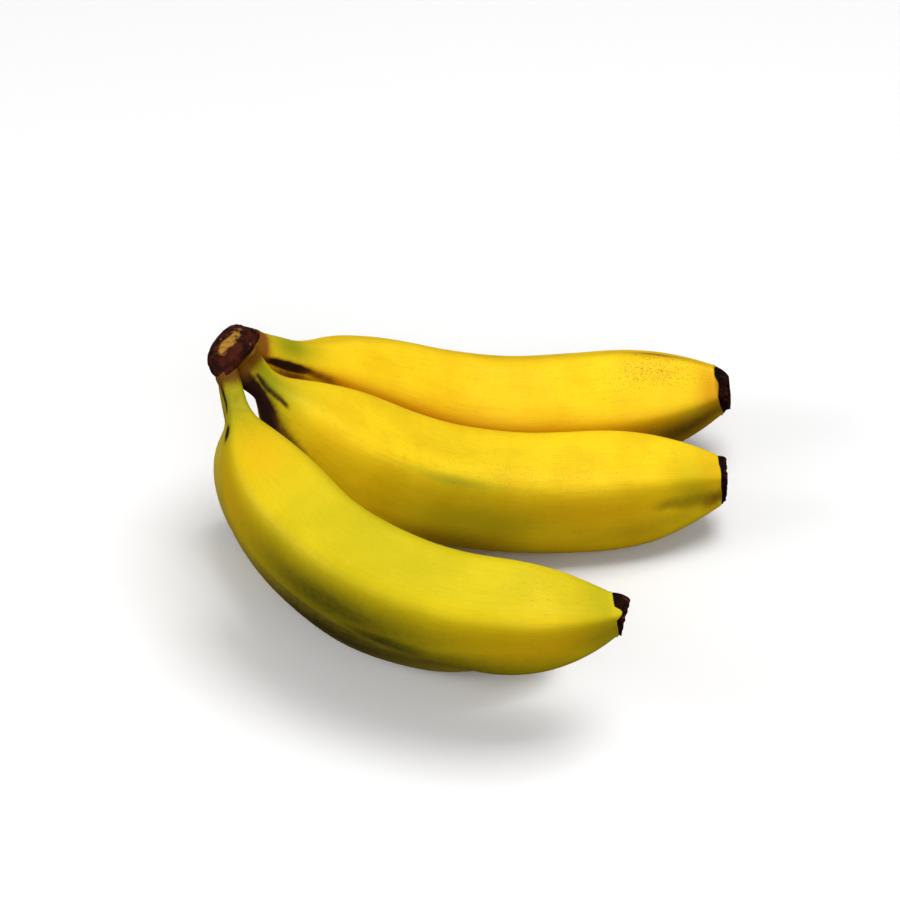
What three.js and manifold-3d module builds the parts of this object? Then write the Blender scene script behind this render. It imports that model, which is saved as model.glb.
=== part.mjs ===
// A hand of four bananas joined at one crown, lying on its side.
// Millimetres, +Z up, the ground plane at z = 0, tips towards +X.

import * as THREE from 'three';
import Module from 'manifold-3d';

const wasm = await Module();
wasm.setup();

// Clearance left between pieces that touch on the real fruit
const GAP = 0.3;

// Dried blossom end at the tip of every finger: its width at the root as a share of
// the tip, the depth of its dished face, and its waist, which lies at a share of its
// length, has come that share of the way to its full taper, and leans by that share
const BLOSSOM_ROOT = 0.96;
const BLOSSOM_DISH = 1.2;
const BLOSSOM_WAIST = { at: 0.6, taper: 0.45, lean: 0.5 };
const BLOSSOM_COLOUR = 0x1d1815;

// Cross-section of a finger: five soft sides, given by the direction of each side
// and by how far it stands from the centre as a share of the finger's radius
const SIDE_ANGLES = [0, 71, 145, 214, 289].map(THREE.MathUtils.degToRad);
const SIDE_REACH = [1.0, 1.02, 0.97, 1.0, 0.98];
const STEPS_PER_SIDE = 4;
const RINGS_PER_FINGER = 38;

// Sharpness of the five edges at stem, body and tip, and the shares of the finger's
// length between which the body's holds
const EDGES = { stem: 5, body: 7, tip: 11, bodyFrom: 0.25, bodyTo: 0.65 };

// Fullness of the neck's swell and of the tip's taper, as powers, and the rounding
// of the foot where the swell begins, as a share of the neck
const NECK_FULLNESS = 2.5;
const TIP_FULLNESS = 2.1;
const NECK_FOOT = 0.12;

// Cushion that the four stems grow from, cut flat on the stem side: a dome that rises
// through a part of a quarter turn, is fuller than a ball, and has lumps round it
const CROWN = {
  base: [-80.5, 80.4, 81.8],
  axis: [-0.72, 0.3, 0.62],
  long: [0.17, 0.95, -0.25],
  halfLength: 16.3,
  halfWidth: 9.2,
  height: 9.6,
  lift: 0.46 * Math.PI,
  fullness: 0.7,
  lumps: [{ count: 3, size: 0.05, phase: 0.7, twist: 0 }, { count: 5, size: 0.03, phase: 0, twist: 4 }],
  summit: 0.98,
  rings: 9,
  steps: 32,
  colour: 0x3a1a12,
};

// Each finger: control points of its centre line from crown to tip, radii of stem,
// body and tip, where the neck starts to swell and how long it takes, how long the
// tip tapers, the turn of the five sides about the centre line in degrees, the length
// of the blossom end, how wide its far end is as a share of the tip, and how far it
// leans over and towards which side, in degrees
const FINGERS = {
  front: {
    axis: [[-85, 72, 87], [-73.5, 43, 47.5], [-59, 1, 59.5], [-14.5, -23, 39], [51, -17.5, 48.5]],
    stem: 3.7, body: 17.6, tip: 6.8,
    neckStart: 21.5, neckLength: 51, tipLength: 40, turn: -32,
    blossom: 4.3, taper: 0.8, lean: 25, leanTowards: 50,
    colour: 0xd9cc14,
  },
  middle: {
    axis: [[-78.5, 76.5, 86.5], [-61, 73.5, 46], [-12.5, 73.6, 10.6], [42, 85, 18], [92.2, 87.3, 21]],
    stem: 4.3, body: 20.5, tip: 8.5,
    neckStart: 16.5, neckLength: 53, tipLength: 49, turn: -20,
    blossom: 2.6, taper: 0.82, lean: 5, leanTowards: 340,
    colour: 0xf3d01f,
  },
  back: {
    axis: [[-80.5, 86.2, 82.1], [-25, 134, 30.6], [-18, 132.1, 17.4], [11.5, 132.5, 10.5], [95.4, 131.2, 30]],
    stem: 6, body: 20.1, tip: 8.9,
    neckStart: 34, neckLength: 81, tipLength: 44, turn: -32,
    blossom: 4.4, taper: 0.62, lean: 14, leanTowards: 330,
    colour: 0xf5cb1e,
  },
  under: {
    axis: [[-85, 79, 80.8], [-84, 109, -29.5], [-46.5, 42, 37.4], [-65, 8.5, 11], [31, 9.6, 20.5]],
    stem: 3.6, body: 16.2, tip: 6.2,
    neckStart: 36, neckLength: 41, tipLength: 45, turn: -46,
    blossom: 3.6, taper: 0.75, lean: 12, leanTowards: 40,
    colour: 0x9a9420,
  },
};

// Bezier curve of any degree, found by halving between neighbouring control points
class BentAxis extends THREE.Curve {
  constructor(controls) {
    super();
    this.controls = controls.map((xyz) => new THREE.Vector3(...xyz));
  }

  getPoint(t, target = new THREE.Vector3()) {
    let level = this.controls;
    while (level.length > 1) {
      const finer = [];
      for (let i = 1; i < level.length; i += 1) {
        finer.push(level[i - 1].clone().lerp(level[i], t));
      }
      level = finer;
    }
    return target.copy(level[0]);
  }

  // Middle of the inner control points as seen from the middle of the chord
  sag() {
    const last = this.controls.length - 1;
    const inner = new THREE.Vector3();
    for (const point of this.controls.slice(1, last)) {
      inner.add(point);
    }
    inner.divideScalar(last - 1);
    return inner.sub(this.controls[0].clone().lerp(this.controls[last], 0.5));
  }

  // Normal of the plane that the finger bends in
  bendNormal() {
    const last = this.controls.length - 1;
    const chord = this.controls[last].clone().sub(this.controls[0]);
    return chord.cross(this.sag()).normalize();
  }
}

// A ramp from 0 to 1 whose foot is rounded
function softRamp(t) {
  if (t < -NECK_FOOT) {
    return 0;
  }
  if (t < NECK_FOOT) {
    return (t + NECK_FOOT) ** 2 / (4 * NECK_FOOT);
  }
  return Math.min(t, 1);
}

// Radius of a finger at a distance from the crown along its centre line
function radiusAt(finger, distance, length) {
  const ramp = softRamp((distance - finger.neckStart) / finger.neckLength);
  const swell = 1 - (1 - ramp) ** NECK_FULLNESS;
  const end = length - finger.blossom - GAP;
  const left = THREE.MathUtils.clamp((end - distance) / finger.tipLength, 0, 1);
  const taper = (1 - left) ** TIP_FULLNESS;
  return finger.stem + (finger.body - finger.stem) * swell - (finger.body - finger.tip) * taper;
}

// Sharpness of the five edges along the finger: plainest at mid-length, crisp at the tip
function edgeSharpness(share) {
  const { lerp, smoothstep } = THREE.MathUtils;
  const stem = lerp(EDGES.stem, EDGES.body, smoothstep(share, 0, EDGES.bodyFrom));
  return lerp(stem, EDGES.tip, smoothstep(share, EDGES.bodyTo, 1));
}

// How far the rounded five-sided outline reaches in one direction
function outlineReach(angle, sharpness) {
  let sum = 0;
  for (const [i, side] of SIDE_ANGLES.entries()) {
    sum += (Math.max(Math.cos(angle - side), 0) / SIDE_REACH[i]) ** sharpness;
  }
  return sum ** (-1 / sharpness);
}

// Directions of the outline's points: each edge gets a point, each side is stepped evenly
function outlineAngles() {
  const edges = SIDE_ANGLES.map((side, i) => {
    const next = i + 1 < SIDE_ANGLES.length ? SIDE_ANGLES[i + 1] : SIDE_ANGLES[0] + 2 * Math.PI;
    return (side + next) / 2;
  });
  const angles = [];
  for (const [i, edge] of edges.entries()) {
    const next = i + 1 < edges.length ? edges[i + 1] : edges[0] + 2 * Math.PI;
    for (let k = 0; k < STEPS_PER_SIDE; k += 1) {
      angles.push(edge + (next - edge) * k / STEPS_PER_SIDE);
    }
  }
  return angles;
}

// Triangle mesh from flat coordinates and the corners of its faces
function skinOf(coordinates, faces) {
  const geometry = new THREE.BufferGeometry();
  geometry.setAttribute('position', new THREE.Float32BufferAttribute(coordinates, 3));
  geometry.setIndex(faces);
  geometry.computeVertexNormals();
  return geometry;
}

// Closed skin over a row of rings with equally many points, with a point amid each end
function loft(rings, firstMiddle, lastMiddle) {
  const steps = rings[0].length;
  const points = [...rings.flat(), firstMiddle, lastMiddle];
  const faces = [];
  const first = points.length - 2;
  const last = points.length - 1;
  for (let k = 0; k < steps; k += 1) {
    const next = (k + 1) % steps;
    faces.push(first, next, k);
    for (let i = 0; i + 1 < rings.length; i += 1) {
      const a = i * steps + k;
      const b = i * steps + next;
      faces.push(a, b, b + steps);
      faces.push(a, b + steps, a + steps);
    }
    const end = (rings.length - 1) * steps;
    faces.push(last, end + k, end + next);
  }
  return skinOf(points.flatMap((point) => point.toArray()), faces);
}

// One ring of a finger's skin; what would sink below the ground is pressed flat
function fingerRing(finger, curve, distance, scale = 1) {
  const length = curve.getLength();
  const share = THREE.MathUtils.clamp(distance / length, 0, 1);
  const middle = curve.getPointAt(share);
  const along = curve.getTangentAt(share);
  const outward = curve.bendNormal().cross(along).normalize();
  const sideways = along.clone().cross(outward);
  const radius = radiusAt(finger, distance, length) * scale;
  const sharpness = edgeSharpness(share);
  const turn = THREE.MathUtils.degToRad(finger.turn);
  return outlineAngles().map((angle) => {
    const reach = radius * outlineReach(angle, sharpness);
    const point = middle.clone();
    point.addScaledVector(outward, reach * Math.cos(angle + turn));
    point.addScaledVector(sideways, reach * Math.sin(angle + turn));
    point.z = Math.max(point.z, 0);
    return point;
  });
}

// Solid of one finger from inside the crown to the start of its blossom end
function fingerGeometry(finger, curve) {
  const length = curve.getLength();
  const end = length - finger.blossom - GAP;
  const rings = [];
  for (let i = 0; i < RINGS_PER_FINGER; i += 1) {
    rings.push(fingerRing(finger, curve, end * i / (RINGS_PER_FINGER - 1)));
  }
  return loft(rings, curve.getPointAt(0), curve.getPointAt(end / length));
}

// Lean points of a blossom end over by a share of its full lean
function leanOver(finger, curve, points, share) {
  const start = 1 - finger.blossom / curve.getLength();
  const hinge = curve.getPointAt(start);
  const along = curve.getTangentAt(start);
  const towards = curve.bendNormal().cross(along).normalize();
  towards.applyAxisAngle(along, THREE.MathUtils.degToRad(finger.turn + finger.leanTowards));
  const pivot = along.clone().cross(towards);
  const angle = THREE.MathUtils.degToRad(finger.lean) * share;
  return points.map((point) => point.clone().sub(hinge).applyAxisAngle(pivot, angle).add(hinge));
}

// Dried blossom end: a short angular stub with a dished face
function blossomGeometry(finger, curve) {
  const length = curve.getLength();
  const start = length - finger.blossom;
  const width = THREE.MathUtils.lerp(BLOSSOM_ROOT, finger.taper, BLOSSOM_WAIST.taper);
  const waist = fingerRing(finger, curve, start + finger.blossom * BLOSSOM_WAIST.at, width);
  const rings = [
    fingerRing(finger, curve, start, BLOSSOM_ROOT),
    leanOver(finger, curve, waist, BLOSSOM_WAIST.lean),
    leanOver(finger, curve, fingerRing(finger, curve, length, finger.taper), 1),
  ];
  const floor = curve.getPointAt((length - BLOSSOM_DISH) / length);
  const [dish] = leanOver(finger, curve, [floor], 1);
  return loft(rings, curve.getPointAt(start / length), dish);
}

// Share by which the crown's lumps move its side out at one angle and lift
function crownLump(angle, lift) {
  let lump = 1;
  for (const { count, size, phase, twist } of CROWN.lumps) {
    lump += size * Math.sin(count * angle + phase + twist * lift);
  }
  return lump;
}

// Lumpy dome standing on the plane where the stems end
function crownGeometry() {
  const base = new THREE.Vector3(...CROWN.base);
  const axis = new THREE.Vector3(...CROWN.axis).normalize();
  const wide = axis.clone().cross(new THREE.Vector3(...CROWN.long)).normalize();
  const long = wide.clone().cross(axis);
  const rings = [];
  for (let i = 0; i < CROWN.rings; i += 1) {
    const lift = CROWN.lift * i / (CROWN.rings - 1);
    const spread = Math.cos(lift) ** CROWN.fullness;
    const ring = [];
    for (let k = 0; k < CROWN.steps; k += 1) {
      const angle = 2 * Math.PI * k / CROWN.steps;
      const lump = crownLump(angle, lift);
      const point = base.clone();
      point.addScaledVector(axis, CROWN.height * Math.sin(lift));
      point.addScaledVector(long, CROWN.halfLength * spread * lump * Math.cos(angle));
      point.addScaledVector(wide, CROWN.halfWidth * spread * lump * Math.sin(angle));
      ring.push(point);
    }
    rings.push(ring);
  }
  return loft(rings, base, base.clone().addScaledVector(axis, CROWN.height * CROWN.summit));
}

// Hand a closed skin over as a solid
function toSolid(geometry) {
  const mesh = new wasm.Mesh({
    numProp: 3,
    vertProperties: new Float32Array(geometry.attributes.position.array),
    triVerts: new Uint32Array(geometry.index.array),
  });
  return new wasm.Manifold(mesh);
}

// Turn a solid back into a skin
function toGeometry(solid) {
  const mesh = solid.getMesh();
  return skinOf(mesh.vertProperties, Array.from(mesh.triVerts));
}

// Cut away the end of a stem that would stand inside the crown
function cutAtCrown(geometry) {
  const axis = new THREE.Vector3(...CROWN.axis).normalize();
  const height = axis.dot(new THREE.Vector3(...CROWN.base)) - GAP;
  const below = axis.clone().negate();
  return toGeometry(toSolid(geometry).trimByPlane(below.toArray(), -height));
}

// Matt or waxy natural surface
function surface(colour, roughness) {
  return new THREE.MeshStandardMaterial({ color: colour, roughness, metalness: 0 });
}

// One piece of the hand
function named(name, geometry, material) {
  const mesh = new THREE.Mesh(geometry, material);
  mesh.name = name;
  return mesh;
}

const hand = new THREE.Group();
hand.name = 'banana_hand';
hand.add(named('crown', crownGeometry(), surface(CROWN.colour, 0.85)));
for (const [place, finger] of Object.entries(FINGERS)) {
  const curve = new BentAxis(finger.axis);
  const peel = cutAtCrown(fingerGeometry(finger, curve));
  const stub = blossomGeometry(finger, curve);
  hand.add(named(`banana_${place}`, peel, surface(finger.colour, 0.45)));
  hand.add(named(`blossom_end_${place}`, stub, surface(BLOSSOM_COLOUR, 0.9)));
}

// The middle of the footprint becomes the origin
const box = new THREE.Box3().setFromObject(hand);
const middle = box.getCenter(new THREE.Vector3());
hand.position.set(-middle.x, -middle.y, -box.min.z);

export default hand;
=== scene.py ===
"""Looks of a hand of four bananas that grew together at one crown.

Every size below is in millimetres and every place is in the drawing's own
coordinates, +Z up, tips towards +X. They become metres, about the middle of
the footprint, when a mesh is made.
"""
import logging
from dataclasses import dataclass, field
from enum import Enum
from math import comb

import bpy
import numpy as np
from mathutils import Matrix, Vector


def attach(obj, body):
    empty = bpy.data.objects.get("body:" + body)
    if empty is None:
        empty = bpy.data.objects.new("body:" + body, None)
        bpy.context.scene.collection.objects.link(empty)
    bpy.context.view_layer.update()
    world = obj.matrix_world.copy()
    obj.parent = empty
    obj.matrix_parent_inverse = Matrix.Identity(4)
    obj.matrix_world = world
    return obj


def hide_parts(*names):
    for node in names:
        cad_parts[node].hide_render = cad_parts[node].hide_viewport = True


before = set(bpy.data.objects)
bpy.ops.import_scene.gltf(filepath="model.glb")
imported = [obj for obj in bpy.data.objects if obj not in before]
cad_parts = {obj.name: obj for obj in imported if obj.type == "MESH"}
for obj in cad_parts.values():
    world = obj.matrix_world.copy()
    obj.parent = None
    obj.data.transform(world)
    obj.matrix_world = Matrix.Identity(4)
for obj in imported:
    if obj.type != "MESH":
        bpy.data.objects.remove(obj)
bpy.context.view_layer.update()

LOG = logging.getLogger("banana_hand")
Array = np.ndarray
Point = tuple[float, float, float]

METRES = 0.001
FOOTPRINT_MIDDLE = (2.135, 59.554, 0.0)
BODY = "root"

GAP = 0.3
# Places of the colour sockets on a mix node
MIX_BELOW = 6
MIX_ABOVE = 7
MIX_RESULT = 2

# Five soft sides of a finger: their directions, and how far each stands from
# the centre as a share of the radius
SIDE_ANGLES = np.radians([0.0, 71.0, 145.0, 214.0, 289.0])
SIDE_REACH = np.array([1.0, 1.02, 0.97, 1.0, 0.98])
# Sharpness of the edges at stem, body and tip, and the shares of the length
# between which the body's holds
EDGE_STEM = 5.0
EDGE_BODY = 7.0
EDGE_TIP = 11.0
BODY_FROM = 0.25
BODY_TO = 0.65
# Fullness of the neck's swell and the tip's taper, and the rounding where the
# swell begins
NECK_FULLNESS = 2.5
TIP_FULLNESS = 2.1
NECK_FOOT = 0.12
# Half turn, in degrees, so wide that a bell curve stays almost even all round
ALL_ROUND = 720.0


class Mark(Enum):
    """Kinds of colouring that a peel can carry, each one vertex attribute."""

    GREEN = "green"
    # Dark green of the peel, also laid on as painted shade on lower faces, shaded facets near the tips
    # and the finger lying under the front one
    DARK = "dark_green_and_shade"
    # Gold of the ripening peel, also laid on as painted shade on lower faces and as painted orange light
    # bounced between the fingers
    GOLD_AND_SHADE = "gold_and_shade"
    # Brown of scars on the stems, also laid on as painted shade under the necks of the middle and back
    # fingers
    BROWN = "brown_scar_and_shade"
    FRECKLE = "freckle"
    # Rust of the collars at the crown, also laid on as painted orange shade in the crevices between the
    # necks
    RUST_AND_SHADE = "rust_and_shade"


def smooth_step(value: Array, low: float, high: float) -> Array:
    """Eased ramp: 0 below low, 1 above high, 3t^2 - 2t^3 between.

    Args:
        value: Numbers to ease.
        low: Where the ramp leaves 0.
        high: Where the ramp reaches 1.

    Returns:
        Array of shares from 0 to 1.
    """
    t = np.clip((value - low) / (high - low), 0.0, 1.0)
    return t * t * (3.0 - 2.0 * t)


def unit(vectors: Array) -> Array:
    """Vectors scaled to length 1 along the last axis."""
    return vectors / np.linalg.norm(vectors, axis=-1, keepdims=True)


def turn_between(angle: Array, other: Array | float) -> Array:
    """Shortest signed turn from other to angle, in radians."""
    return (angle - other + np.pi) % (2.0 * np.pi) - np.pi


def bell(along: Array, around: Array, middle: tuple[float, float],
         half: tuple[float, float]) -> Array:
    """Bell curve about one place on a peel: e to the power of minus the squared
    distance and minus the squared turn, each as a share of its half width.

    Args:
        along: Distances from the crown.
        around: Angles about the finger, in radians.
        middle: Distance and angle of the place, the angle in degrees.
        half: Half width in distance and in degrees.

    Returns:
        Array of shares from 0 to 1.
    """
    lengthwise = (along - middle[0]) / half[0]
    crosswise = turn_between(around, np.radians(middle[1])) / np.radians(half[1])
    return np.exp(-lengthwise ** 2 - crosswise ** 2)


def linear(hex_colour: str) -> tuple[float, float, float, float]:
    """Scene-linear colour of a hex code.

    Args:
        hex_colour: Six hex digits after a hash sign.

    Returns:
        Red, green, blue and an alpha of 1.
    """
    code = hex_colour.lstrip("#")
    share = np.array([int(code[i:i + 2], 16) for i in (0, 2, 4)]) / 255.0
    low = share / 12.92
    high = ((share + 0.055) / 1.055) ** 2.4
    red, green, blue = np.where(share <= 0.04045, low, high)
    return (float(red), float(green), float(blue), 1.0)


def ripple(first: Array, second: Array, waves: int, seed: int, pitch: float) -> Array:
    """Seamless low waves: the mean of sines of whole turns in the first angle
    and of free phase along the second coordinate.

    Args:
        first: Angles in radians.
        second: Distances in millimetres.
        waves: How many sines are added.
        seed: Seed of the random phases.
        pitch: Shortest wavelength along the second coordinate.

    Returns:
        Array of values within about -1 to 1.
    """
    rng = np.random.default_rng(seed)
    total = np.zeros(np.broadcast(first, second).shape)
    for _ in range(waves):
        turns = rng.integers(1, 6)
        length = pitch * rng.uniform(1.0, 3.0)
        phase = rng.uniform(0.0, 2.0 * np.pi)
        total = total + np.sin(turns * first + 2.0 * np.pi * second / length + phase)
    return total / np.sqrt(waves)


def place_in_frame(points: Array) -> Array:
    """Drawing millimetres to frame metres about the middle of the footprint."""
    return (points - np.array(FOOTPRINT_MIDDLE)) * METRES


def wrap_mesh(name: str, rings: Array, first: Array, last: Array) -> bpy.types.Object:
    """Closed mesh over a row of rings, with a fan of triangles to a point at
    each end, wound so that faces point out when the rings turn right-handed
    about the way from first to last.

    Args:
        name: Name of the object and its mesh.
        rings: Points in drawing millimetres, shaped rows by columns by 3.
        first: Point amid the first ring.
        last: Point amid the last ring.

    Returns:
        New object at the origin, linked to the scene.
    """
    rows, columns, _ = rings.shape
    points = np.concatenate([rings.reshape(-1, 3), [first], [last]])
    index = np.arange(rows * columns).reshape(rows, columns)
    beside = np.roll(index, -1, axis=1)
    quads = np.stack([index[:-1], beside[:-1], beside[1:], index[1:]], axis=-1)
    start = np.full(columns, rows * columns)
    stop = start + 1
    opening = np.stack([start, beside[0], index[0]], axis=-1)
    closing = np.stack([stop, index[-1], beside[-1]], axis=-1)
    faces = quads.reshape(-1, 4).tolist() + opening.tolist() + closing.tolist()
    mesh = bpy.data.meshes.new(name)
    mesh.from_pydata(place_in_frame(points), [], faces)
    mesh.polygons.foreach_set("use_smooth", np.ones(len(faces), dtype=bool))
    mesh.update()
    piece = bpy.data.objects.new(name, mesh)
    bpy.context.scene.collection.objects.link(piece)
    return piece


def paint(piece: bpy.types.Object, name: str, values: Array) -> None:
    """Store one number for every grid point, and its ring's mean at the two
    end points, as a vertex attribute.

    Args:
        piece: Mesh made by wrap_mesh.
        name: Name of the attribute.
        values: Numbers shaped like the grid of rings.
    """
    ends = [values[0].mean(), values[-1].mean()]
    layer = piece.data.attributes.new(name, "FLOAT", "POINT")
    layer.data.foreach_set("value", np.concatenate([values.ravel(), ends]).astype(np.float32))


def paint_vector(piece: bpy.types.Object, name: str, values: Array) -> None:
    """Store one vector for every grid point, and its ring's mean at the ends.

    Args:
        piece: Mesh made by wrap_mesh.
        name: Name of the attribute.
        values: Vectors shaped rows by columns by 3.
    """
    ends = [values[0].mean(axis=0), values[-1].mean(axis=0)]
    layer = piece.data.attributes.new(name, "FLOAT_VECTOR", "POINT")
    flat = np.concatenate([values.reshape(-1, 3), ends]).astype(np.float32)
    layer.data.foreach_set("vector", flat.ravel())


def hand_over(piece: bpy.types.Object, node: str) -> None:
    """Let a finished piece stand for its solid, on the hand's one body.

    Args:
        piece: Finished mesh object.
        node: Solid that the piece replaces.
    """
    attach(piece, BODY)
    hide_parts(node)
    LOG.info("%s: %d faces", piece.name, len(piece.data.polygons))


class NodeBench:
    """Adds linked shader nodes to one new material."""

    def __init__(self, name: str) -> None:
        """Start a material with a principled shader.

        Args:
            name: Name of the material.
        """
        self.material = bpy.data.materials.new(name)
        self.material.use_nodes = True
        self.tree = self.material.node_tree
        self.shader = self.tree.nodes["Principled BSDF"]

    def feed(self, socket: bpy.types.NodeSocket, value: object) -> None:
        """Link a socket to another, or set its value.

        Args:
            socket: Input to feed.
            value: Output to link, or a plain value.
        """
        if isinstance(value, bpy.types.NodeSocket):
            self.tree.links.new(value, socket)
        else:
            socket.default_value = value

    def attribute(self, name: str, output: str = "Fac") -> bpy.types.NodeSocket:
        """Number or vector that a mesh attribute holds.

        Args:
            name: Name of the attribute.
            output: Fac for a number, Vector for a vector.

        Returns:
            Socket with the attribute.
        """
        node = self.tree.nodes.new("ShaderNodeAttribute")
        node.attribute_name = name
        return node.outputs[output]

    def place(self) -> bpy.types.NodeSocket:
        """Object coordinates in metres."""
        return self.tree.nodes.new("ShaderNodeTexCoord").outputs["Object"]

    def noise(self, where: bpy.types.NodeSocket, scale: float, detail: float = 3.0,
              roughness: float = 0.55) -> bpy.types.NodeSocket:
        """Cloudy noise about 0.5.

        Args:
            where: Coordinates to read the noise at.
            scale: Features per unit of the coordinates.
            detail: Octaves.
            roughness: Weight of the finer octaves.

        Returns:
            Socket with the noise's value.
        """
        node = self.tree.nodes.new("ShaderNodeTexNoise")
        node.inputs["Scale"].default_value = scale
        node.inputs["Detail"].default_value = detail
        node.inputs["Roughness"].default_value = roughness
        self.feed(node.inputs["Vector"], where)
        return node.outputs["Fac"]

    def math(self, operation: str, first: object, second: object = 0.0,
             clamp: bool = False) -> bpy.types.NodeSocket:
        """One sum on numbers or sockets.

        Args:
            operation: Name of the operation.
            first: First number or socket.
            second: Second number or socket.
            clamp: Whether to hold the result between 0 and 1.

        Returns:
            Socket with the result.
        """
        node = self.tree.nodes.new("ShaderNodeMath")
        node.operation = operation
        node.use_clamp = clamp
        self.feed(node.inputs[0], first)
        self.feed(node.inputs[1], second)
        return node.outputs["Value"]

    def remap(self, value: object, low: float, high: float, to_low: float = 0.0,
              to_high: float = 1.0) -> bpy.types.NodeSocket:
        """Eased change of range.

        Args:
            value: Number or socket to change.
            low: Value that becomes to_low.
            high: Value that becomes to_high.
            to_low: Result at low and beyond.
            to_high: Result at high and beyond.

        Returns:
            Socket with the result.
        """
        node = self.tree.nodes.new("ShaderNodeMapRange")
        node.interpolation_type = "SMOOTHSTEP"
        for name, number in zip(("From Min", "From Max", "To Min", "To Max"),
                                (low, high, to_low, to_high)):
            node.inputs[name].default_value = number
        self.feed(node.inputs["Value"], value)
        return node.outputs["Result"]

    def blend(self, share: object, below: object, above: object,
              mode: str = "MIX") -> bpy.types.NodeSocket:
        """Colour laid over another.

        Args:
            share: How much of the upper colour shows.
            below: Lower colour or socket.
            above: Upper colour or socket.
            mode: Name of the way of blending.

        Returns:
            Socket with the mixed colour.
        """
        node = self.tree.nodes.new("ShaderNodeMix")
        node.data_type = "RGBA"
        node.blend_type = mode
        self.feed(node.inputs["Factor"], share)
        self.feed(node.inputs[MIX_BELOW], below)
        self.feed(node.inputs[MIX_ABOVE], above)
        return node.outputs[MIX_RESULT]

    def bump(self, height: bpy.types.NodeSocket, strength: float, depth: float) -> None:
        """Raise fine relief on the shader.

        Args:
            height: Socket with the height.
            strength: Share of the relief that shows.
            depth: Relief in metres at a height of 1.
        """
        node = self.tree.nodes.new("ShaderNodeBump")
        node.inputs["Strength"].default_value = strength
        node.inputs["Distance"].default_value = depth
        self.feed(node.inputs["Height"], height)
        self.feed(self.shader.inputs["Normal"], node.outputs["Normal"])


@dataclass(frozen=True)
class PeelFinish:
    """Waxy banana peel with its ripening colours and marks, some of them painted shade."""

    ripe: str
    deep: str
    # Colour of the gold mark, which is also painted shade and painted bounced light
    gold_and_shade: str = "#E8B010"
    green: str = "#8F9310"
    # Colour of the dark green mark, which is also painted shade
    dark: str = "#43400A"
    # Colour of the brown mark: scars, and painted shade under the necks
    brown_scar_and_shade: str = "#260E08"
    # Colour of the rust mark: collars, and painted shade in the crevices
    rust_and_shade: str = "#6A4408"
    speck: str = "#8A5A12"
    roughness: float = 0.5

    def material(self, name: str) -> bpy.types.Material:
        """Peel colours: a cloudy mix of two yellows, then gold, green and dark
        green where the peel is marked, long faint fibres, pores, freckles,
        rust and scars, with fine pores as relief. Gold, dark green, brown and
        rust are also laid on as painted shade where shade falls, and gold as
        painted light bounced between the fingers.

        Args:
            name: Name of the material.

        Returns:
            New material.
        """
        bench = NodeBench(name)
        where = bench.place()
        cloud = bench.noise(where, scale=60.0, detail=4.0)
        mottle = bench.noise(where, scale=420.0, detail=4.0, roughness=0.6)
        fibre = bench.noise(bench.attribute("grain", "Vector"), scale=1.6, detail=3.0)
        colour = bench.blend(bench.remap(cloud, 0.35, 0.68), linear(self.ripe), linear(self.deep))
        breakup = bench.math("MULTIPLY", bench.math("SUBTRACT", mottle, 0.5), 0.2)
        for mark, shade in ((Mark.GOLD_AND_SHADE, self.gold_and_shade), (Mark.GREEN, self.green), (Mark.DARK, self.dark)):
            amount = bench.attribute(mark.value)
            loose = bench.math("MULTIPLY", breakup, bench.remap(amount, 0.0, 0.3))
            share = bench.math("ADD", amount, loose, clamp=True)
            colour = bench.blend(share, colour, linear(shade))
        colour = bench.blend(bench.remap(fibre, 0.42, 0.75, 0.0, 0.14), colour, linear(self.green))
        colour = bench.blend(bench.remap(mottle, 0.28, 0.42, 0.12, 0.0), colour, linear(self.speck))
        colour = bench.blend(self.freckles(bench, where), colour, linear(self.speck))
        # Brown scars, and painted shade under the necks
        scar_and_shade = self.frayed(bench, Mark.BROWN, mottle)
        colour = bench.blend(scar_and_shade, colour, linear(self.brown_scar_and_shade))
        colour = bench.blend(self.frayed(bench, Mark.RUST_AND_SHADE, mottle), colour, linear(self.rust_and_shade))
        bench.feed(bench.shader.inputs["Base Color"], colour)
        worn = bench.remap(mottle, 0.3, 0.7, self.roughness - 0.05, self.roughness + 0.08)
        rough = bench.math("ADD", worn, bench.math("MULTIPLY", scar_and_shade, 0.25), clamp=True)
        bench.feed(bench.shader.inputs["Roughness"], rough)
        bench.shader.inputs["Specular IOR Level"].default_value = 0.1
        height = bench.math("ADD", bench.math("MULTIPLY", mottle, 0.6), fibre)
        bench.bump(height, 0.3, 0.0002)
        return bench.material

    def freckles(self, bench: NodeBench, where: bpy.types.NodeSocket) -> bpy.types.NodeSocket:
        """Share of freckle: fine noise that stands above a level, which the
        freckle attribute lowers, at two sizes.

        Args:
            bench: Material being made.
            where: Coordinates to scatter in.

        Returns:
            Socket with the share.
        """
        amount = bench.attribute(Mark.FRECKLE.value)
        fine = bench.noise(where, scale=1900.0, detail=2.0)
        coarse = bench.noise(where, scale=640.0, detail=3.0)
        small = bench.math("ADD", fine, bench.math("MULTIPLY", amount, 0.19))
        large = bench.math("ADD", coarse, bench.math("MULTIPLY", amount, 0.12))
        small = bench.remap(small, 0.68, 0.80, 0.0, 0.55)
        large = bench.remap(large, 0.70, 0.84, 0.0, 0.5)
        return bench.math("MAXIMUM", small, large)

    def frayed(self, bench: NodeBench, mark: Mark, mottle: bpy.types.NodeSocket) -> bpy.types.NodeSocket:
        """Share of one mark: its attribute with a frayed edge.

        Args:
            bench: Material being made.
            mark: Mark to read.
            mottle: Fine noise that frays the edge.

        Returns:
            Socket with the share.
        """
        amount = bench.attribute(mark.value)
        fray = bench.math("MULTIPLY", bench.math("SUBTRACT", mottle, 0.5), 0.35)
        edge = bench.remap(bench.math("ADD", amount, fray), 0.1, 0.85)
        return bench.math("MULTIPLY", edge, bench.remap(amount, 0.0, 0.15))


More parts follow.
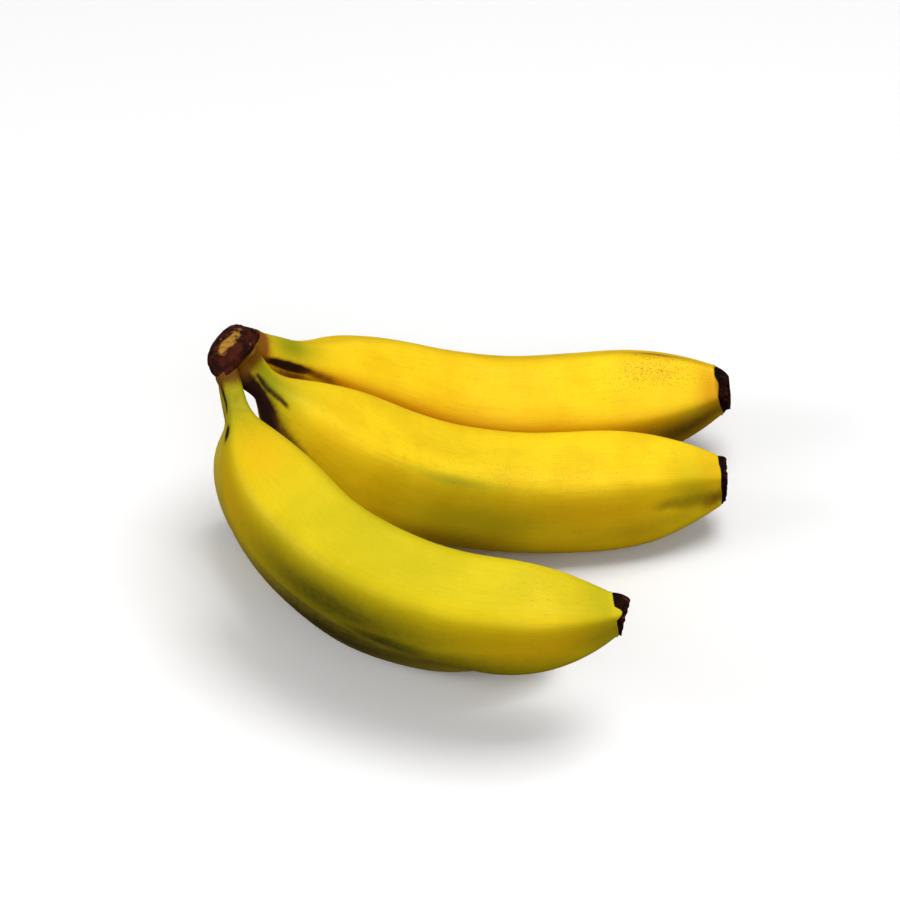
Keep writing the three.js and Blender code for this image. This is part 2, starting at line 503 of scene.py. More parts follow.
@dataclass(frozen=True)
class DriedFinish:
    """Dry, fibrous plant tissue: the crown and the blossom ends."""

    dark: str
    warm: str
    pale: str
    roughness: float = 0.78

    def material(self, name: str) -> bpy.types.Material:
        """Dark dry tissue: two browns in clouds, pale torn fibres where the
        cut attribute is high, and coarse relief.

        Args:
            name: Name of the material.

        Returns:
            New material.
        """
        bench = NodeBench(name)
        cloud = bench.noise(bench.place(), scale=260.0, detail=4.0, roughness=0.6)
        fibre = bench.noise(bench.attribute("grain", "Vector"), scale=1.0, detail=4.0, roughness=0.65)
        colour = bench.blend(bench.remap(cloud, 0.4, 0.66), linear(self.dark), linear(self.warm))
        cut = bench.attribute("cut")
        fray = bench.math("MULTIPLY", bench.math("SUBTRACT", fibre, 0.5), 2.2)
        torn = bench.math("ADD", cut, fray)
        pale = bench.math("MULTIPLY", bench.remap(torn, 0.4, 1.05), bench.remap(cut, 0.05, 0.3))
        colour = bench.blend(pale, colour, linear(self.pale))
        bench.feed(bench.shader.inputs["Base Color"], colour)
        worn = bench.remap(cloud, 0.3, 0.7, self.roughness - 0.2, self.roughness + 0.1)
        bench.feed(bench.shader.inputs["Roughness"], worn)
        bench.shader.inputs["Specular IOR Level"].default_value = 0.04
        bench.bump(bench.math("ADD", cloud, fibre), 0.6, 0.0006)
        return bench.material


BLOSSOM_FINISH = DriedFinish(dark="#0E0403", warm="#240B07", pale="#55301C", roughness=0.8)


@dataclass(frozen=True)
class Patch:
    """Soft-edged patch of one mark, placed by the distance from the crown
    along the finger and by the angle about it."""

    mark: Mark
    along: float
    around: float
    half_length: float
    half_turn: float = ALL_ROUND
    strength: float = 1.0

    def spread(self, along: Array, around: Array, radius: Array) -> Array:
        """Strength times a bell curve; a patch takes no heed of the radius."""
        half = (self.half_length, self.half_turn)
        return self.strength * bell(along, around, (self.along, self.around), half)


@dataclass(frozen=True)
class ThinLine:
    """Thin line of one mark between two places on the peel: scars, and on the middle finger a line of
    painted shade near the tip.
    """

    mark: Mark
    start: tuple[float, float]
    stop: tuple[float, float]
    half_width: float
    strength: float = 1.0
    wave: float = 0.25
    wave_reach: float = 1.7

    def spread(self, along: Array, around: Array, radius: Array) -> Array:
        """Strength times a bell curve of the distance from the line, measured
        on the unrolled peel; a low wave bends the line, and it thins out
        towards its ends.

        Args:
            along: Distances from the crown.
            around: Angles about the finger.
            radius: Radius of the finger at each point.

        Returns:
            Strength of the mark at each point.
        """
        share = np.clip((along - self.start[0]) / (self.stop[0] - self.start[0]), 0.0, 1.0)
        middle = np.radians(self.start[1] + share * (self.stop[1] - self.start[1]))
        wobble = self.wave * np.sin(along / self.wave_reach + self.start[1])
        across = radius * turn_between(around, middle) + wobble
        beyond = along - (self.start[0] + share * (self.stop[0] - self.start[0]))
        thin = self.half_width * (0.45 + 0.55 * np.sin(np.pi * (0.1 + 0.8 * share)))
        return self.strength * np.exp(-(across / thin) ** 2 - (beyond / (1.5 * self.half_width)) ** 2)


@dataclass(frozen=True)
class Swell:
    """Soft thickening of a stem, where it has grown towards its neighbour."""

    along: float
    around: float
    half_length: float
    half_turn: float
    height: float

    def spread(self, along: Array, around: Array) -> Array:
        """Height times a bell curve in distance and angle."""
        half = (self.half_length, self.half_turn)
        return self.height * bell(along, around, (self.along, self.around), half)


@dataclass(frozen=True)
class Lobe:
    """Tongue of peel that reaches over the blossom end at one angle."""

    around: float
    half_turn: float
    reach: float

    def spread(self, around: Array) -> Array:
        """Reach times a bell curve of the angle from the tongue's middle."""
        turn = turn_between(around, np.radians(self.around)) / np.radians(self.half_turn)
        return self.reach * np.exp(-turn ** 2)


@dataclass(frozen=True)
class CentreLine:
    """Curve that a finger grows along, pulled by its control points and read by
    distance from its start."""

    controls: tuple[Point, ...]
    samples: int = 4000

    def bezier(self, share: Array, points: Array) -> Array:
        """Sum of the points, each weighted by its term of the binomial
        (t + (1 - t)) to the power of the degree.

        Args:
            share: Curve parameters from 0 to 1.
            points: Control points, one to a row.

        Returns:
            Points, or differences of points, with a last axis of 3.
        """
        degree = len(points) - 1
        weights = [comb(degree, k) * share ** k * (1.0 - share) ** (degree - k)
                   for k in range(degree + 1)]
        return np.tensordot(np.stack(weights, axis=-1), points, axes=1)

    def table(self) -> tuple[Array, Array]:
        """Length of the curve, added up over short chords.

        Returns:
            Curve parameters, and the distance from the start at each.
        """
        share = np.linspace(0.0, 1.0, self.samples)
        steps = np.diff(self.bezier(share, np.array(self.controls)), axis=0)
        distance = np.concatenate([[0.0], np.cumsum(np.linalg.norm(steps, axis=1))])
        return share, distance

    def length(self) -> float:
        """Length of the whole line."""
        return float(self.table()[1][-1])

    def frame(self, along: Array) -> tuple[Array, Array, Array, Array]:
        """Point, way along, way out of the bend and way sideways.

        Args:
            along: Distances from the start.

        Returns:
            Four arrays of vectors, shaped like along with a last axis of 3.
        """
        points = np.array(self.controls)
        share, distance = self.table()
        t = np.interp(along, distance, share)
        tangent = unit(self.bezier(t, np.diff(points, axis=0)))
        sag = points[1:-1].mean(axis=0) - (points[0] + points[-1]) / 2.0
        normal = unit(np.cross(points[-1] - points[0], sag))
        outward = unit(np.cross(np.broadcast_to(normal, tangent.shape), tangent))
        return self.bezier(t, points), tangent, outward, np.cross(tangent, outward)


@dataclass(frozen=True)
class Crown:
    """Dried cushion that the stems grow from, cut off the bunch on top."""

    base: Point = (-80.5, 80.4, 81.8)
    axis: Point = (-0.72, 0.3, 0.62)
    long: Point = (0.17, 0.95, -0.25)
    half_length: float = 16.3
    half_width: float = 9.2
    height: float = 9.6
    lift: float = 0.46 * np.pi
    tuck: float = -0.16
    fullness: float = 0.7
    torn_lift: float = 0.8
    torn_angle: float = 226.0
    flank_angle: float = 275.0
    rows: int = 96
    columns: int = 200
    finish: DriedFinish = DriedFinish(dark="#1F0C08", warm="#4B1E14", pale="#A67A2E")

    def ways(self) -> tuple[Array, Array, Array]:
        """Square frame of the crown: its axis, and its long way made square to it.

        Returns:
            Unit vectors up the crown, along it and across it.
        """
        up = unit(np.array(self.axis))
        across = unit(np.cross(up, np.array(self.long)))
        return up, np.cross(across, up), across

    def plane_height(self, points: Array) -> Array:
        """Height of points above the plane where the stems end."""
        return (points - np.array(self.base)) @ self.ways()[0]

    def build(self) -> bpy.types.Object:
        """Dome whose width is a power of the cosine of the lift and whose height
        is its sine, rolled in under its rim, with lumps round it, low waves,
        a flattened flank and a shallow torn hollow where the pale flesh shows.

        Returns:
            The finished crown.
        """
        up, along, across = self.ways()
        lift, angle = np.meshgrid(np.linspace(self.tuck, self.lift, self.rows),
                                  np.linspace(0.0, 2.0 * np.pi, self.columns, endpoint=False),
                                  indexing="ij")
        spread = np.cos(np.where(lift < 0.0, 3.5 * lift, lift)) ** self.fullness
        lump = 1.0 + 0.05 * np.sin(3.0 * angle + 0.7) + 0.03 * np.sin(5.0 * angle + 4.0 * lift)
        waves = ripple(angle, 14.0 * lift, 9, 11, 5.0)
        crumbs = ripple(4.0 * angle, 14.0 * lift, 9, 23, 1.6)
        rise = smooth_step(lift, -0.1, 0.3)
        torn = turn_between(angle, np.radians(self.torn_angle))
        band = np.exp(-((lift - self.torn_lift) / 0.36) ** 2 - (torn / 0.95) ** 2)
        flank = np.exp(-(turn_between(angle, np.radians(self.flank_angle)) / 0.7) ** 2)
        rough = 0.010 * waves + 0.004 * crumbs
        wide = spread * (lump - 0.03 * band - 0.05 * flank * rise + rise * rough)
        high = self.height * np.sin(lift) * (1.0 - 0.05 * band - 0.06 * flank)
        high = high + rise * (0.08 * waves + 0.04 * crumbs)
        offsets = (high[..., None] * up
                   + (self.half_length * wide * np.cos(angle))[..., None] * along
                   + (self.half_width * wide * np.sin(angle))[..., None] * across)
        base = np.array(self.base)
        piece = wrap_mesh("crown_cushion", base + offsets, base + up * high[0].mean(),
                          base + up * high[-1].mean())
        rim = 0.4 * np.clip(waves, 0.0, 1.0) * np.exp(-((lift - 0.04) / 0.05) ** 2)
        paint(piece, "cut", np.maximum(band, rim))
        paint_vector(piece, "grain", 0.5 * offsets)
        piece.data.materials.append(self.finish.material("dried_crown"))
        hand_over(piece, "crown")
        return piece


@dataclass(frozen=True)
class Finger:
    """One banana: stem, neck, five-sided body, tip and dried blossom end.

    The radii are stem, body and tip. The neck and the tip have their lengths
    along the centre line. Turn and lean are in degrees. The taper, and the
    stub's root, sunk part and wall, are shares.
    """

    place: str
    line: CentreLine
    stem: float
    body: float
    tip: float
    neck_start: float
    neck_length: float
    tip_length: float
    turn: float
    blossom: float
    taper: float
    lean: float
    lean_towards: float
    finish: PeelFinish
    marks: tuple[Patch | ThinLine, ...]
    lobes: tuple[Lobe, ...]
    seed: int
    swells: tuple[Swell, ...] = ()
    shift: float = 0.0
    crown: Crown = field(default_factory=Crown)
    rows: int = 360
    columns: int = 160
    lip: float = 0.7
    lip_rows: int = 6
    lip_ripple: float = 0.12
    short_of_end: float = 0.9
    dip: float = 0.3
    sunk: float = 0.8
    search: float = 40.0
    flare: float = 0.7
    flare_length: float = 2.6
    stub_rows: int = 40
    stub_columns: int = 120
    stub_root: float = 0.95
    stub_sunk: float = 0.6
    stub_wall: float = 0.55
    dish: float = 1.3
    knob: float = 0.8

    def end(self) -> float:
        """Distance from the crown to where the blossom end begins."""
        return self.line.length() - self.blossom - GAP

    def radius(self, along: Array) -> Array:
        """Stem radius, plus the swell of the neck, less the taper of the tip.

        Args:
            along: Distances from the line's start.

        Returns:
            Radii in millimetres.
        """
        ramp = (along - self.neck_start) / self.neck_length
        foot = np.clip(ramp + NECK_FOOT, 0.0, None) ** 2 / (4.0 * NECK_FOOT)
        soft = np.where(ramp < NECK_FOOT, foot, ramp)
        swell = 1.0 - (1.0 - np.clip(soft, 0.0, 1.0)) ** NECK_FULLNESS
        left = np.clip((self.end() - along) / self.tip_length, 0.0, 1.0)
        taper = (1.0 - left) ** TIP_FULLNESS
        return self.stem + (self.body - self.stem) * swell - (self.body - self.tip) * taper

    def reach(self, along: Array, around: Array) -> Array:
        """Rounded five-sided outline: the power mean of the distances at which
        the five sides are met, sharper towards the tip.

        Args:
            along: Distances from the line's start.
            around: Angles about the line.

        Returns:
            Shares of the radius.
        """
        share = along / self.line.length()
        power = EDGE_STEM + (EDGE_BODY - EDGE_STEM) * smooth_step(share, 0.0, BODY_FROM)
        power = power + (EDGE_TIP - power) * smooth_step(share, BODY_TO, 1.0)
        facing = np.maximum(np.cos(around[..., None] - SIDE_ANGLES), 0.0) / SIDE_REACH
        return (facing ** power[..., None]).sum(axis=-1) ** (-1.0 / power)

    def skin(self, along: Array, around: Array, extra: Array) -> Array:
        """Points of the peel: the centre line plus radius times reach, plus an
        extra, in the way that the angle gives; nothing sinks below the ground.

        Args:
            along: Distances from the line's start.
            around: Angles about the line.
            extra: Millimetres added to the radius.

        Returns:
            Points with a last axis of 3.
        """
        middle, _, outward, sideways = self.line.frame(along)
        far = self.radius(along) * self.reach(along, around) + extra
        angle = around + np.radians(self.turn)
        points = (middle + (far * np.cos(angle))[..., None] * outward
                  + (far * np.sin(angle))[..., None] * sideways)
        points[..., 2] = np.maximum(points[..., 2], 0.0)
        return points

    def stem_starts(self, around: Array) -> Array:
        """Distance at which each lengthwise line of the stem leaves the crown.

        Args:
            around: Angles of the lengthwise lines.

        Returns:
            Distances, a little inside the crown.
        """
        steps = np.linspace(0.0, self.search, 401)
        along, angle = np.meshgrid(steps, around, indexing="ij")
        height = self.crown.plane_height(self.skin(along, angle, np.zeros(along.shape)))
        inside = height > self.sunk
        last = np.where(inside.any(axis=0), inside.shape[0] - 1 - inside[::-1].argmax(axis=0), 0)
        return along[last, 0]

    def peel(self) -> bpy.types.Object:
        """Peel from the crown to a rounded lip round the blossom end: the skin,
        flared where it leaves the crown, curled in at the lip, with low dents
        along the body and with its swells.

        Returns:
            The finished peel.
        """
        around = np.linspace(0.0, 2.0 * np.pi, self.columns, endpoint=False)
        starts = self.stem_starts(around)
        tongues = np.max([lobe.spread(around) for lobe in self.lobes], axis=0)
        ragged = self.lip_ripple * ripple(2.0 * around, 0.0 * around, 6, self.seed, 4.0)
        stops = self.end() - self.short_of_end + tongues + ragged
        lip_turn = np.linspace(0.0, 0.5 * np.pi, self.lip_rows + 1)[1:]
        straight = np.linspace(0.0, 1.0, self.rows)[:, None]
        along = np.concatenate([
            starts + (stops - self.lip - starts) * straight,
            stops - self.lip + self.lip * np.sin(lip_turn)[:, None],
        ])
        angle = np.broadcast_to(around, along.shape)
        curl = np.zeros(along.shape)
        curl[self.rows:] = self.lip * (1.0 - np.cos(lip_turn))[:, None]
        flare = self.flare * np.exp(-((along - starts) / self.flare_length) ** 2)
        bulk = smooth_step(self.radius(along), self.stem, self.body)
        dent = self.dip * bulk * (0.5 + 0.35 * ripple(angle, along, 7, self.seed, 26.0))
        growth = sum((swell.spread(along, angle) for swell in self.swells), np.zeros(along.shape))
        points = self.skin(along, angle, flare - curl - dent + growth)
        middles = self.line.frame(np.array([starts.mean(), stops.mean() - 0.3]))[0]
        piece = wrap_mesh(f"banana_{self.place}_peel", points, middles[0], middles[1])
        self.colour(piece, along, angle)
        piece.data.materials.append(self.finish.material(f"peel_{self.place}"))
        hand_over(piece, f"banana_{self.place}")
        return piece

    def colour(self, piece: bpy.types.Object, along: Array, around: Array) -> None:
        """Store the marks, and the lengthwise grain, as vertex attributes.

        Args:
            piece: The peel.
            along: Distance of each grid point.
            around: Angle of each grid point.
        """
        radius = self.radius(along)
        for mark in Mark:
            spots = [m.spread(along, around, radius) for m in self.marks if m.mark is mark]
            total = np.max(spots, axis=0) if spots else np.zeros(along.shape)
            paint(piece, mark.value, np.clip(total, 0.0, 1.0))
        grain = np.stack([self.body * np.cos(around), self.body * np.sin(around), 0.05 * along],
                         axis=-1)
        paint_vector(piece, "grain", grain)

    def lean_over(self, points: Array, share: Array) -> Array:
        """Points turned about the start of the blossom end, towards one side,
        by a share of its full lean, and shifted to the same side by that share
        of its shift. The part of an arm along the pivot stays; the rest turns
        by its cosine, and by the sine of its cross product with the pivot.

        Args:
            points: Points with a last axis of 3.
            share: Share of the lean and the shift for each point.

        Returns:
            Moved points.
        """
        hinge, tangent, outward, sideways = self.line.frame(np.array(self.end() + GAP))
        angle = np.radians(self.turn + self.lean_towards)
        side = np.cos(angle) * outward + np.sin(angle) * sideways
        pivot = np.cross(tangent, side)
        bend = (np.radians(self.lean) * share)[..., None]
        arm = points - hinge
        along_pivot = (arm @ pivot)[..., None] * pivot
        turned = along_pivot + (arm - along_pivot) * np.cos(bend) + np.cross(pivot, arm) * np.sin(bend)
        return hinge + turned + (self.shift * share)[..., None] * side

    def blossom_end(self) -> bpy.types.Object:
        """Black stub: a ragged five-sided wall that rises out of the peel and
        narrows to a rim, then a dished face that closes towards a small knob
        amid it, all leaning to one side.

        Returns:
            The finished stub.
        """
        path, angle = np.meshgrid(np.linspace(0.0, 1.0, self.stub_rows),
                                  np.linspace(0.0, 2.0 * np.pi, self.stub_columns, endpoint=False),
                                  indexing="ij")
        wall = np.clip(path / self.stub_wall, 0.0, 1.0)
        face = np.clip((path - self.stub_wall) / (1.0 - self.stub_wall), 0.0, 1.0)
        rise = (1.0 + self.stub_sunk) * wall - self.stub_sunk
        out = np.clip(rise, 0.0, 1.0)
        level = self.blossom * rise - self.dish * smooth_step(face, 0.05, 0.5)
        level = level + self.knob * smooth_step(face, 0.6, 1.0)
        share = (self.stub_root - (self.stub_root - self.taper) * out ** 1.5) * (1.0 - 0.95 * face)
        ragged = ripple(angle, level, 9, self.seed + 40, 3.0)
        fine = 0.6 * ripple(4.0 * angle, level, 7, self.seed + 70, 1.5)
        outer = smooth_step(wall, 0.4, 1.0) * (1.0 - face)
        along = self.end() + GAP + level + 0.3 * outer * (ragged + fine)
        full = self.radius(np.minimum(along, self.end())) * self.reach(along, angle)
        extra = full * (share * (1.0 + 0.03 * outer * (ragged + fine)) - 1.0)
        points = self.lean_over(self.skin(along, angle, extra), out ** 1.36)
        piece = wrap_mesh(f"blossom_end_{self.place}_stub", points, points[0].mean(axis=0),
                          points[-1].mean(axis=0))
        paint(piece, "cut", 0.55 * np.maximum(outer, smooth_step(face, 0.4, 0.8)))
        grain = np.stack([9.0 * np.cos(angle), 9.0 * np.sin(angle), 0.35 * level], axis=-1)
        paint_vector(piece, "grain", grain)
        piece.data.materials.append(BLOSSOM_FINISH.material(f"dried_blossom_{self.place}"))
        hand_over(piece, f"blossom_end_{self.place}")
        return piece


def front_finger() -> Finger:
    """Greenest finger, nearest to the viewer."""
    marks = (
        Patch(Mark.GREEN, 16.0, 0.0, 16.0, strength=0.65),
        Patch(Mark.GREEN, 100.0, 272.0, 40.0, 46.0, 0.34),
        Patch(Mark.GREEN, 182.0, 0.0, 8.0, strength=0.35),
        Patch(Mark.GOLD_AND_SHADE, 40.0, 290.0, 22.0, 45.0, 0.8),
        # Painted shade: warm darkening low on the belly towards the tip
        Patch(Mark.GOLD_AND_SHADE, 162.0, 356.0, 30.0, 30.0, 0.8),
        Patch(Mark.DARK, 16.0, 320.0, 9.0, 90.0, 0.2),
        # The peel's dark green along the lower side, deepened by painted shade
        Patch(Mark.DARK, 97.0, 11.0, 40.0, 35.0, 0.94),
        Patch(Mark.DARK, 114.0, 26.0, 28.0, 18.0, 1.0),
        Patch(Mark.DARK, 136.0, 30.0, 32.0, 24.0, 0.8),
        Patch(Mark.GOLD_AND_SHADE, 48.0, 4.0, 22.0, 34.0, 0.8),
        Patch(Mark.RUST_AND_SHADE, 6.0, 0.0, 5.5, strength=0.9),
        Patch(Mark.RUST_AND_SHADE, 16.0, 310.0, 12.0, 90.0, 0.27),
        Patch(Mark.DARK, 184.0, 10.0, 15.0, 30.0, 0.4),
        ThinLine(Mark.BROWN, (5.0, 344.0), (18.0, 370.0), 1.0, 1.2),
        Patch(Mark.BROWN, 26.5, 360.0, 3.0, 18.0, 1.2),
        Patch(Mark.FRECKLE, 165.0, 280.0, 24.0, 30.0, 0.4),
    )
    return Finger(
        place="front",
        line=CentreLine(((-85, 72, 87), (-73.5, 43, 47.5), (-59, 1, 59.5), (-14.5, -23, 39),
                         (51, -17.5, 48.5))),
        stem=3.7, body=17.6, tip=6.8,
        neck_start=21.5, neck_length=51.0, tip_length=40.0, turn=-32.0,
        blossom=4.3, taper=0.8, lean=25.0, lean_towards=50.0,
        finish=PeelFinish(ripe="#DEC510", deep="#D3BD0A", gold_and_shade="#E0AE0C"),
        marks=marks,
        lobes=(Lobe(0.0, ALL_ROUND, 2.0), Lobe(318.0, 24.0, 4.2), Lobe(80.0, 35.0, 2.8),
               Lobe(190.0, 40.0, 2.6)),
        seed=3,
    )


def middle_finger() -> Finger:
    """Yellow finger across the middle."""
    marks = (
        Patch(Mark.GREEN, 11.0, 248.0, 15.0, 70.0, 0.95),
        Patch(Mark.GREEN, 104.0, 291.0, 28.0, 22.0, 0.55),
        Patch(Mark.GREEN, 92.0, 255.0, 18.0, 6.0, 0.7),
        Patch(Mark.GREEN, 96.0, 268.0, 26.0, 24.0, 0.3),
        Patch(Mark.GREEN, 184.0, 268.0, 8.0, 50.0, 0.35),
        # Painted shade: warm darkening of the lower faces
        Patch(Mark.GOLD_AND_SHADE, 145.0, 278.0, 28.0, 22.0, 0.8),
        Patch(Mark.GOLD_AND_SHADE, 45.0, 280.0, 18.0, 22.0, 0.25),
        Patch(Mark.GOLD_AND_SHADE, 192.0, 240.0, 6.0, 60.0, 0.6),
        # Painted shade: a dark line where the lit upper face turns down near the tip, and dark patches
        # on the lower face
        ThinLine(Mark.DARK, (174.0, 282.0), (196.0, 293.0), 3.6, 0.55),
        Patch(Mark.DARK, 98.0, 318.0, 22.0, 13.0, 0.5),
        Patch(Mark.RUST_AND_SHADE, 192.0, 300.0, 6.0, 24.0, 0.6),
        Patch(Mark.DARK, 164.0, 308.0, 20.0, 15.0, 0.42),
        Patch(Mark.RUST_AND_SHADE, 2.0, 268.0, 5.5, strength=0.9),
        ThinLine(Mark.BROWN, (9.5, 285.0), (22.0, 271.0), 1.6, 0.74),
        Patch(Mark.BROWN, 16.0, 274.0, 3.5, 4.0, 0.5),
        Patch(Mark.BROWN, 21.5, 270.5, 2.6, 8.0, 0.7),
        # Painted shade under the neck: dark brown in the crevice, fading to rust along the front finger
        Patch(Mark.BROWN, 14.0, 336.0, 19.0, 40.0, 1.8),
        Patch(Mark.RUST_AND_SHADE, 34.0, 308.0, 10.0, 12.0, 0.8),
        Patch(Mark.GREEN, 105.0, 220.0, 36.0, 26.0, 0.14),
        Patch(Mark.FRECKLE, 120.0, 242.0, 45.0, 26.0, 0.5),
    )
    return Finger(
        place="middle",
        line=CentreLine(((-78.5, 76.5, 86.5), (-61, 73.5, 46), (-12.5, 73.6, 10.6), (42, 85, 18),
                         (92.2, 87.3, 21))),
        stem=4.3, body=20.5, tip=8.5,
        neck_start=16.5, neck_length=53.0, tip_length=49.0, turn=-20.0,
        blossom=2.6, taper=0.82, lean=5.0, lean_towards=340.0,
        finish=PeelFinish(ripe="#F6D014", deep="#EBC20E", gold_and_shade="#E0AC0A", dark="#57400A"),
        marks=marks,
        lobes=(Lobe(0.0, ALL_ROUND, 1.3), Lobe(236.0, 40.0, 1.7), Lobe(90.0, 40.0, 1.6)),
        seed=5,
        swells=(Swell(9.0, 345.0, 6.5, 45.0, 3.6),),
    )


def back_finger() -> Finger:
    """Golden finger behind, with freckles near its tip."""
    marks = (
        Patch(Mark.GREEN, 21.0, 200.0, 13.0, 60.0, 0.95),
        # Painted shade and painted orange light bounced off the middle finger, along the lower face
        Patch(Mark.GOLD_AND_SHADE, 95.0, 258.0, 75.0, 16.0, 0.9),
        Patch(Mark.GOLD_AND_SHADE, 204.0, 235.0, 6.0, 60.0, 0.8),
        # Painted shade on the lower facet near the tip
        Patch(Mark.DARK, 194.0, 294.0, 26.0, 34.0, 0.9),
        Patch(Mark.FRECKLE, 181.0, 200.0, 22.0, 24.0, 1.0),
        Patch(Mark.FRECKLE, 188.0, 177.0, 16.0, 10.0, 1.4),
        Patch(Mark.FRECKLE, 150.0, 207.0, 50.0, 40.0, 0.35),
        Patch(Mark.FRECKLE, 186.0, 160.0, 15.0, 14.0, 1.6),
        Patch(Mark.RUST_AND_SHADE, 185.0, 162.0, 11.0, 15.0, 0.62),
        Patch(Mark.RUST_AND_SHADE, 5.0, 230.0, 5.5, strength=0.9),
        # Painted shade under the neck: dark brown, with rust where it fades along the middle finger
        Patch(Mark.BROWN, 19.0, 266.0, 15.0, 15.0, 1.5),
        Patch(Mark.BROWN, 28.0, 318.0, 16.0, 22.0, 1.4),
        Patch(Mark.RUST_AND_SHADE, 25.0, 290.0, 11.0, 12.0, 0.85),
        Patch(Mark.RUST_AND_SHADE, 38.0, 268.0, 10.0, 16.0, 0.7),
        Patch(Mark.RUST_AND_SHADE, 206.0, 230.0, 1.5, 90.0, 0.5),
    )
    return Finger(
        place="back",
        line=CentreLine(((-80.5, 86.2, 82.1), (-25, 134, 30.6), (-18, 132.1, 17.4), (11.5, 132.5, 10.5),
                         (95.4, 131.2, 30))),
        stem=6.0, body=20.1, tip=8.9,
        neck_start=34.0, neck_length=81.0, tip_length=44.0, turn=-32.0,
        blossom=4.4, taper=0.62, lean=6.0, lean_towards=312.0,
        finish=PeelFinish(ripe="#F8D018", deep="#F0C310", gold_and_shade="#D69008", dark="#54380A",
                          rust_and_shade="#855014", speck="#96560F"),
        marks=marks,
        lobes=(Lobe(0.0, ALL_ROUND, 2.0), Lobe(225.0, 45.0, 2.6), Lobe(20.0, 50.0, 2.6)),
        seed=8,
        swells=(Swell(24.0, 310.0, 9.0, 45.0, 2.6),),
        shift=1.6,
    )


def under_finger() -> Finger:
    """Olive finger that lies under the front one."""
    marks = (
        Patch(Mark.GREEN, 10.0, 0.0, 24.0, strength=0.7),
        # Painted shadow of the front finger over the olive peel
        Patch(Mark.DARK, 126.0, 346.0, 58.0, 80.0, 1.0),
        Patch(Mark.GREEN, 120.0, 180.0, 60.0, 90.0, 0.45),
        Patch(Mark.RUST_AND_SHADE, 6.0, 0.0, 6.0, strength=0.9),
        ThinLine(Mark.BROWN, (26.0, 352.0), (40.0, 350.0), 0.8, 0.7),
        Patch(Mark.RUST_AND_SHADE, 199.0, 0.0, 1.5, strength=0.5),
    )
    return Finger(
        place="under",
        line=CentreLine(((-85, 79, 80.8), (-84, 109, -29.5), (-46.5, 42, 37.4), (-65, 8.5, 11),
                         (31, 9.6, 20.5))),
        stem=3.6, body=16.2, tip=6.2,
        neck_start=36.0, neck_length=41.0, tip_length=45.0, turn=-46.0,
        blossom=3.6, taper=0.75, lean=12.0, lean_towards=40.0,
        finish=PeelFinish(ripe="#DFC23C", deep="#CFB42C", dark="#322B0A"),
        marks=marks,
        lobes=(Lobe(30.0, 30.0, 2.4), Lobe(150.0, 40.0, 2.0), Lobe(275.0, 35.0, 2.2)),
        seed=13,
    )


@dataclass(frozen=True)
class SoftBox:
    """Square studio lamp."""

    name: str
    place: Point
    aim: Point
    side: float
    watts: float
    tint: Point = (1.0, 1.0, 1.0)

    def build(self) -> None:
        """Add the lamp, turned to its aim."""
        lamp = bpy.data.lights.new(self.name, "AREA")
        lamp.shape = "SQUARE"
        lamp.size = self.side
        lamp.energy = self.watts
        lamp.color = self.tint
        holder = bpy.data.objects.new(self.name, lamp)
        holder.location = self.place
        way = Vector(self.aim) - Vector(self.place)
        holder.rotation_euler = way.to_track_quat("-Z", "Y").to_euler()
        bpy.context.scene.collection.objects.link(holder)


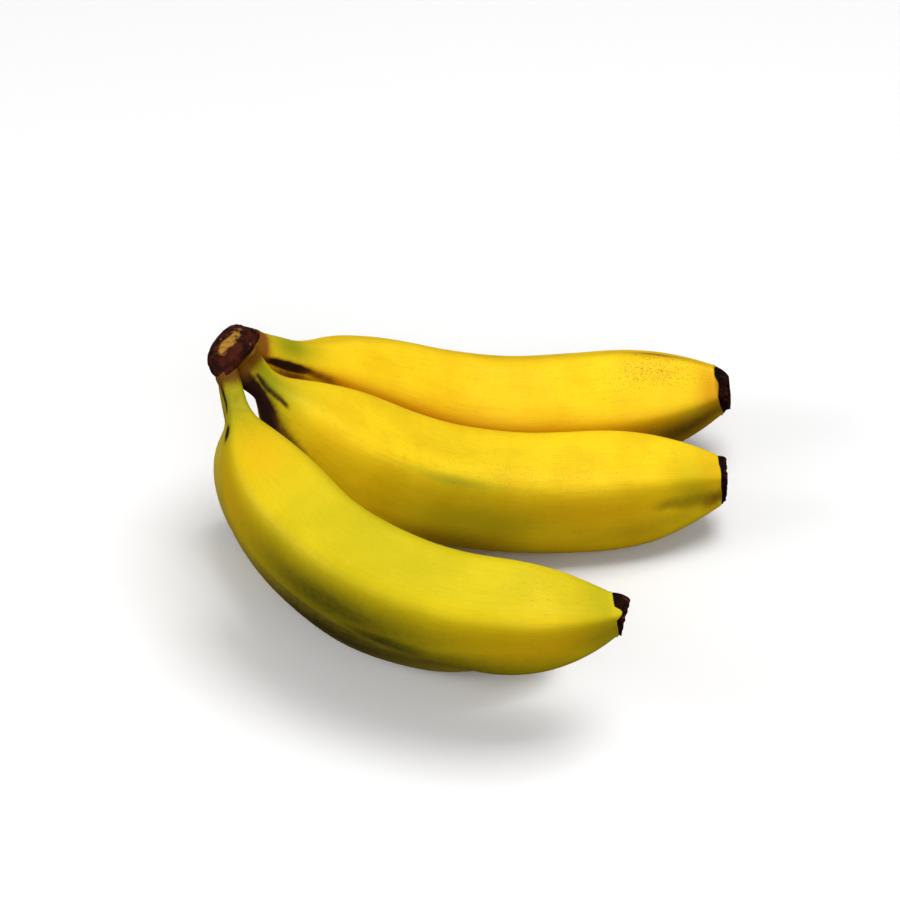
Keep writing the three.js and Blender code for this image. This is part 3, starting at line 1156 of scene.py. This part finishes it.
@dataclass(frozen=True)
class Studio:
    """Pale floor, soft lamps and the camera; the lamps' places and the camera's
    distance are in metres, its aim in drawing millimetres."""

    aim: Point = (-7.19, 93.06, 30.0)
    distance: float = 1.21403
    elevation: float = 38.0
    lens: float = 135.0
    sensor: float = 36.0
    floor_side: float = 8.0
    floor_drop: float = 0.0003
    sky: Point = (0.30, 0.30, 0.30)
    ground: Point = (0.07, 0.055, 0.03)
    lamps: tuple[SoftBox, ...] = (
        SoftBox("key_lamp", (0.35, 0.1, 1.5), (0.0, 0.0, 0.0), 0.9, 15.5),
        SoftBox("fill_lamp", (0.3, -1.35, 0.8), (0.0, 0.0, 0.05), 1.0, 10.5),
        SoftBox("side_lamp", (-1.5, -0.3, 0.7), (0.0, 0.0, 0.05), 0.8, 12.5),
    )

    def camera(self) -> None:
        """Camera that looks along +Y, down by the elevation, at its aim."""
        lens = bpy.data.cameras.new("camera")
        lens.lens = self.lens
        lens.sensor_width = self.sensor
        lens.clip_end = 20.0
        tilt = np.radians(self.elevation)
        way = Vector((0.0, float(np.cos(tilt)), float(-np.sin(tilt))))
        holder = bpy.data.objects.new("camera", lens)
        holder.location = Vector(place_in_frame(np.array(self.aim))) - self.distance * way
        holder.rotation_euler = way.to_track_quat("-Z", "Y").to_euler()
        bpy.context.scene.collection.objects.link(holder)
        bpy.context.scene.camera = holder

    def floor(self) -> None:
        """Flat pale square just under the hand."""
        half = self.floor_side / 2.0
        corners = np.array([[-half, -half], [half, -half], [half, half], [-half, half]])
        points = np.column_stack([corners, np.full(4, -self.floor_drop)])
        mesh = bpy.data.meshes.new("floor")
        mesh.from_pydata(points, [], [(0, 1, 2, 3)])
        floor = bpy.data.objects.new("floor", mesh)
        bpy.context.scene.collection.objects.link(floor)
        bench = NodeBench("pale_floor")
        bench.shader.inputs["Base Color"].default_value = (0.9, 0.9, 0.9, 1.0)
        bench.shader.inputs["Roughness"].default_value = 0.9
        mesh.materials.append(bench.material)
        floor.visible_diffuse = False
        floor.visible_glossy = False

    def daylight(self) -> None:
        """Even pale light from above that fades to a dim warm light below."""
        world = bpy.data.worlds.new("studio")
        world.use_nodes = True
        nodes = world.node_tree.nodes
        links = world.node_tree.links
        split = nodes.new("ShaderNodeSeparateXYZ")
        links.new(nodes.new("ShaderNodeTexCoord").outputs["Generated"], split.inputs["Vector"])
        fade = nodes.new("ShaderNodeMapRange")
        fade.inputs["From Min"].default_value = -0.15
        fade.inputs["From Max"].default_value = 0.25
        links.new(split.outputs["Z"], fade.inputs["Value"])
        mix = nodes.new("ShaderNodeMix")
        mix.data_type = "RGBA"
        mix.inputs[MIX_BELOW].default_value = (*self.ground, 1.0)
        mix.inputs[MIX_ABOVE].default_value = (*self.sky, 1.0)
        links.new(fade.outputs["Result"], mix.inputs["Factor"])
        links.new(mix.outputs[MIX_RESULT], nodes["Background"].inputs["Color"])
        bpy.context.scene.world = world

    def build(self) -> None:
        """Set the stage round the hand."""
        self.camera()
        self.floor()
        self.daylight()
        for lamp in self.lamps:
            lamp.build()
        bpy.context.scene.view_settings.view_transform = "Standard"


def main() -> None:
    """Build the crown, the fingers and the studio, in that order."""
    logging.basicConfig(level=logging.INFO, format="%(message)s")
    Crown().build()
    for finger in (front_finger(), middle_finger(), back_finger(), under_finger()):
        finger.peel()
        finger.blossom_end()
    Studio().build()


if __name__ == "__main__":
    main()
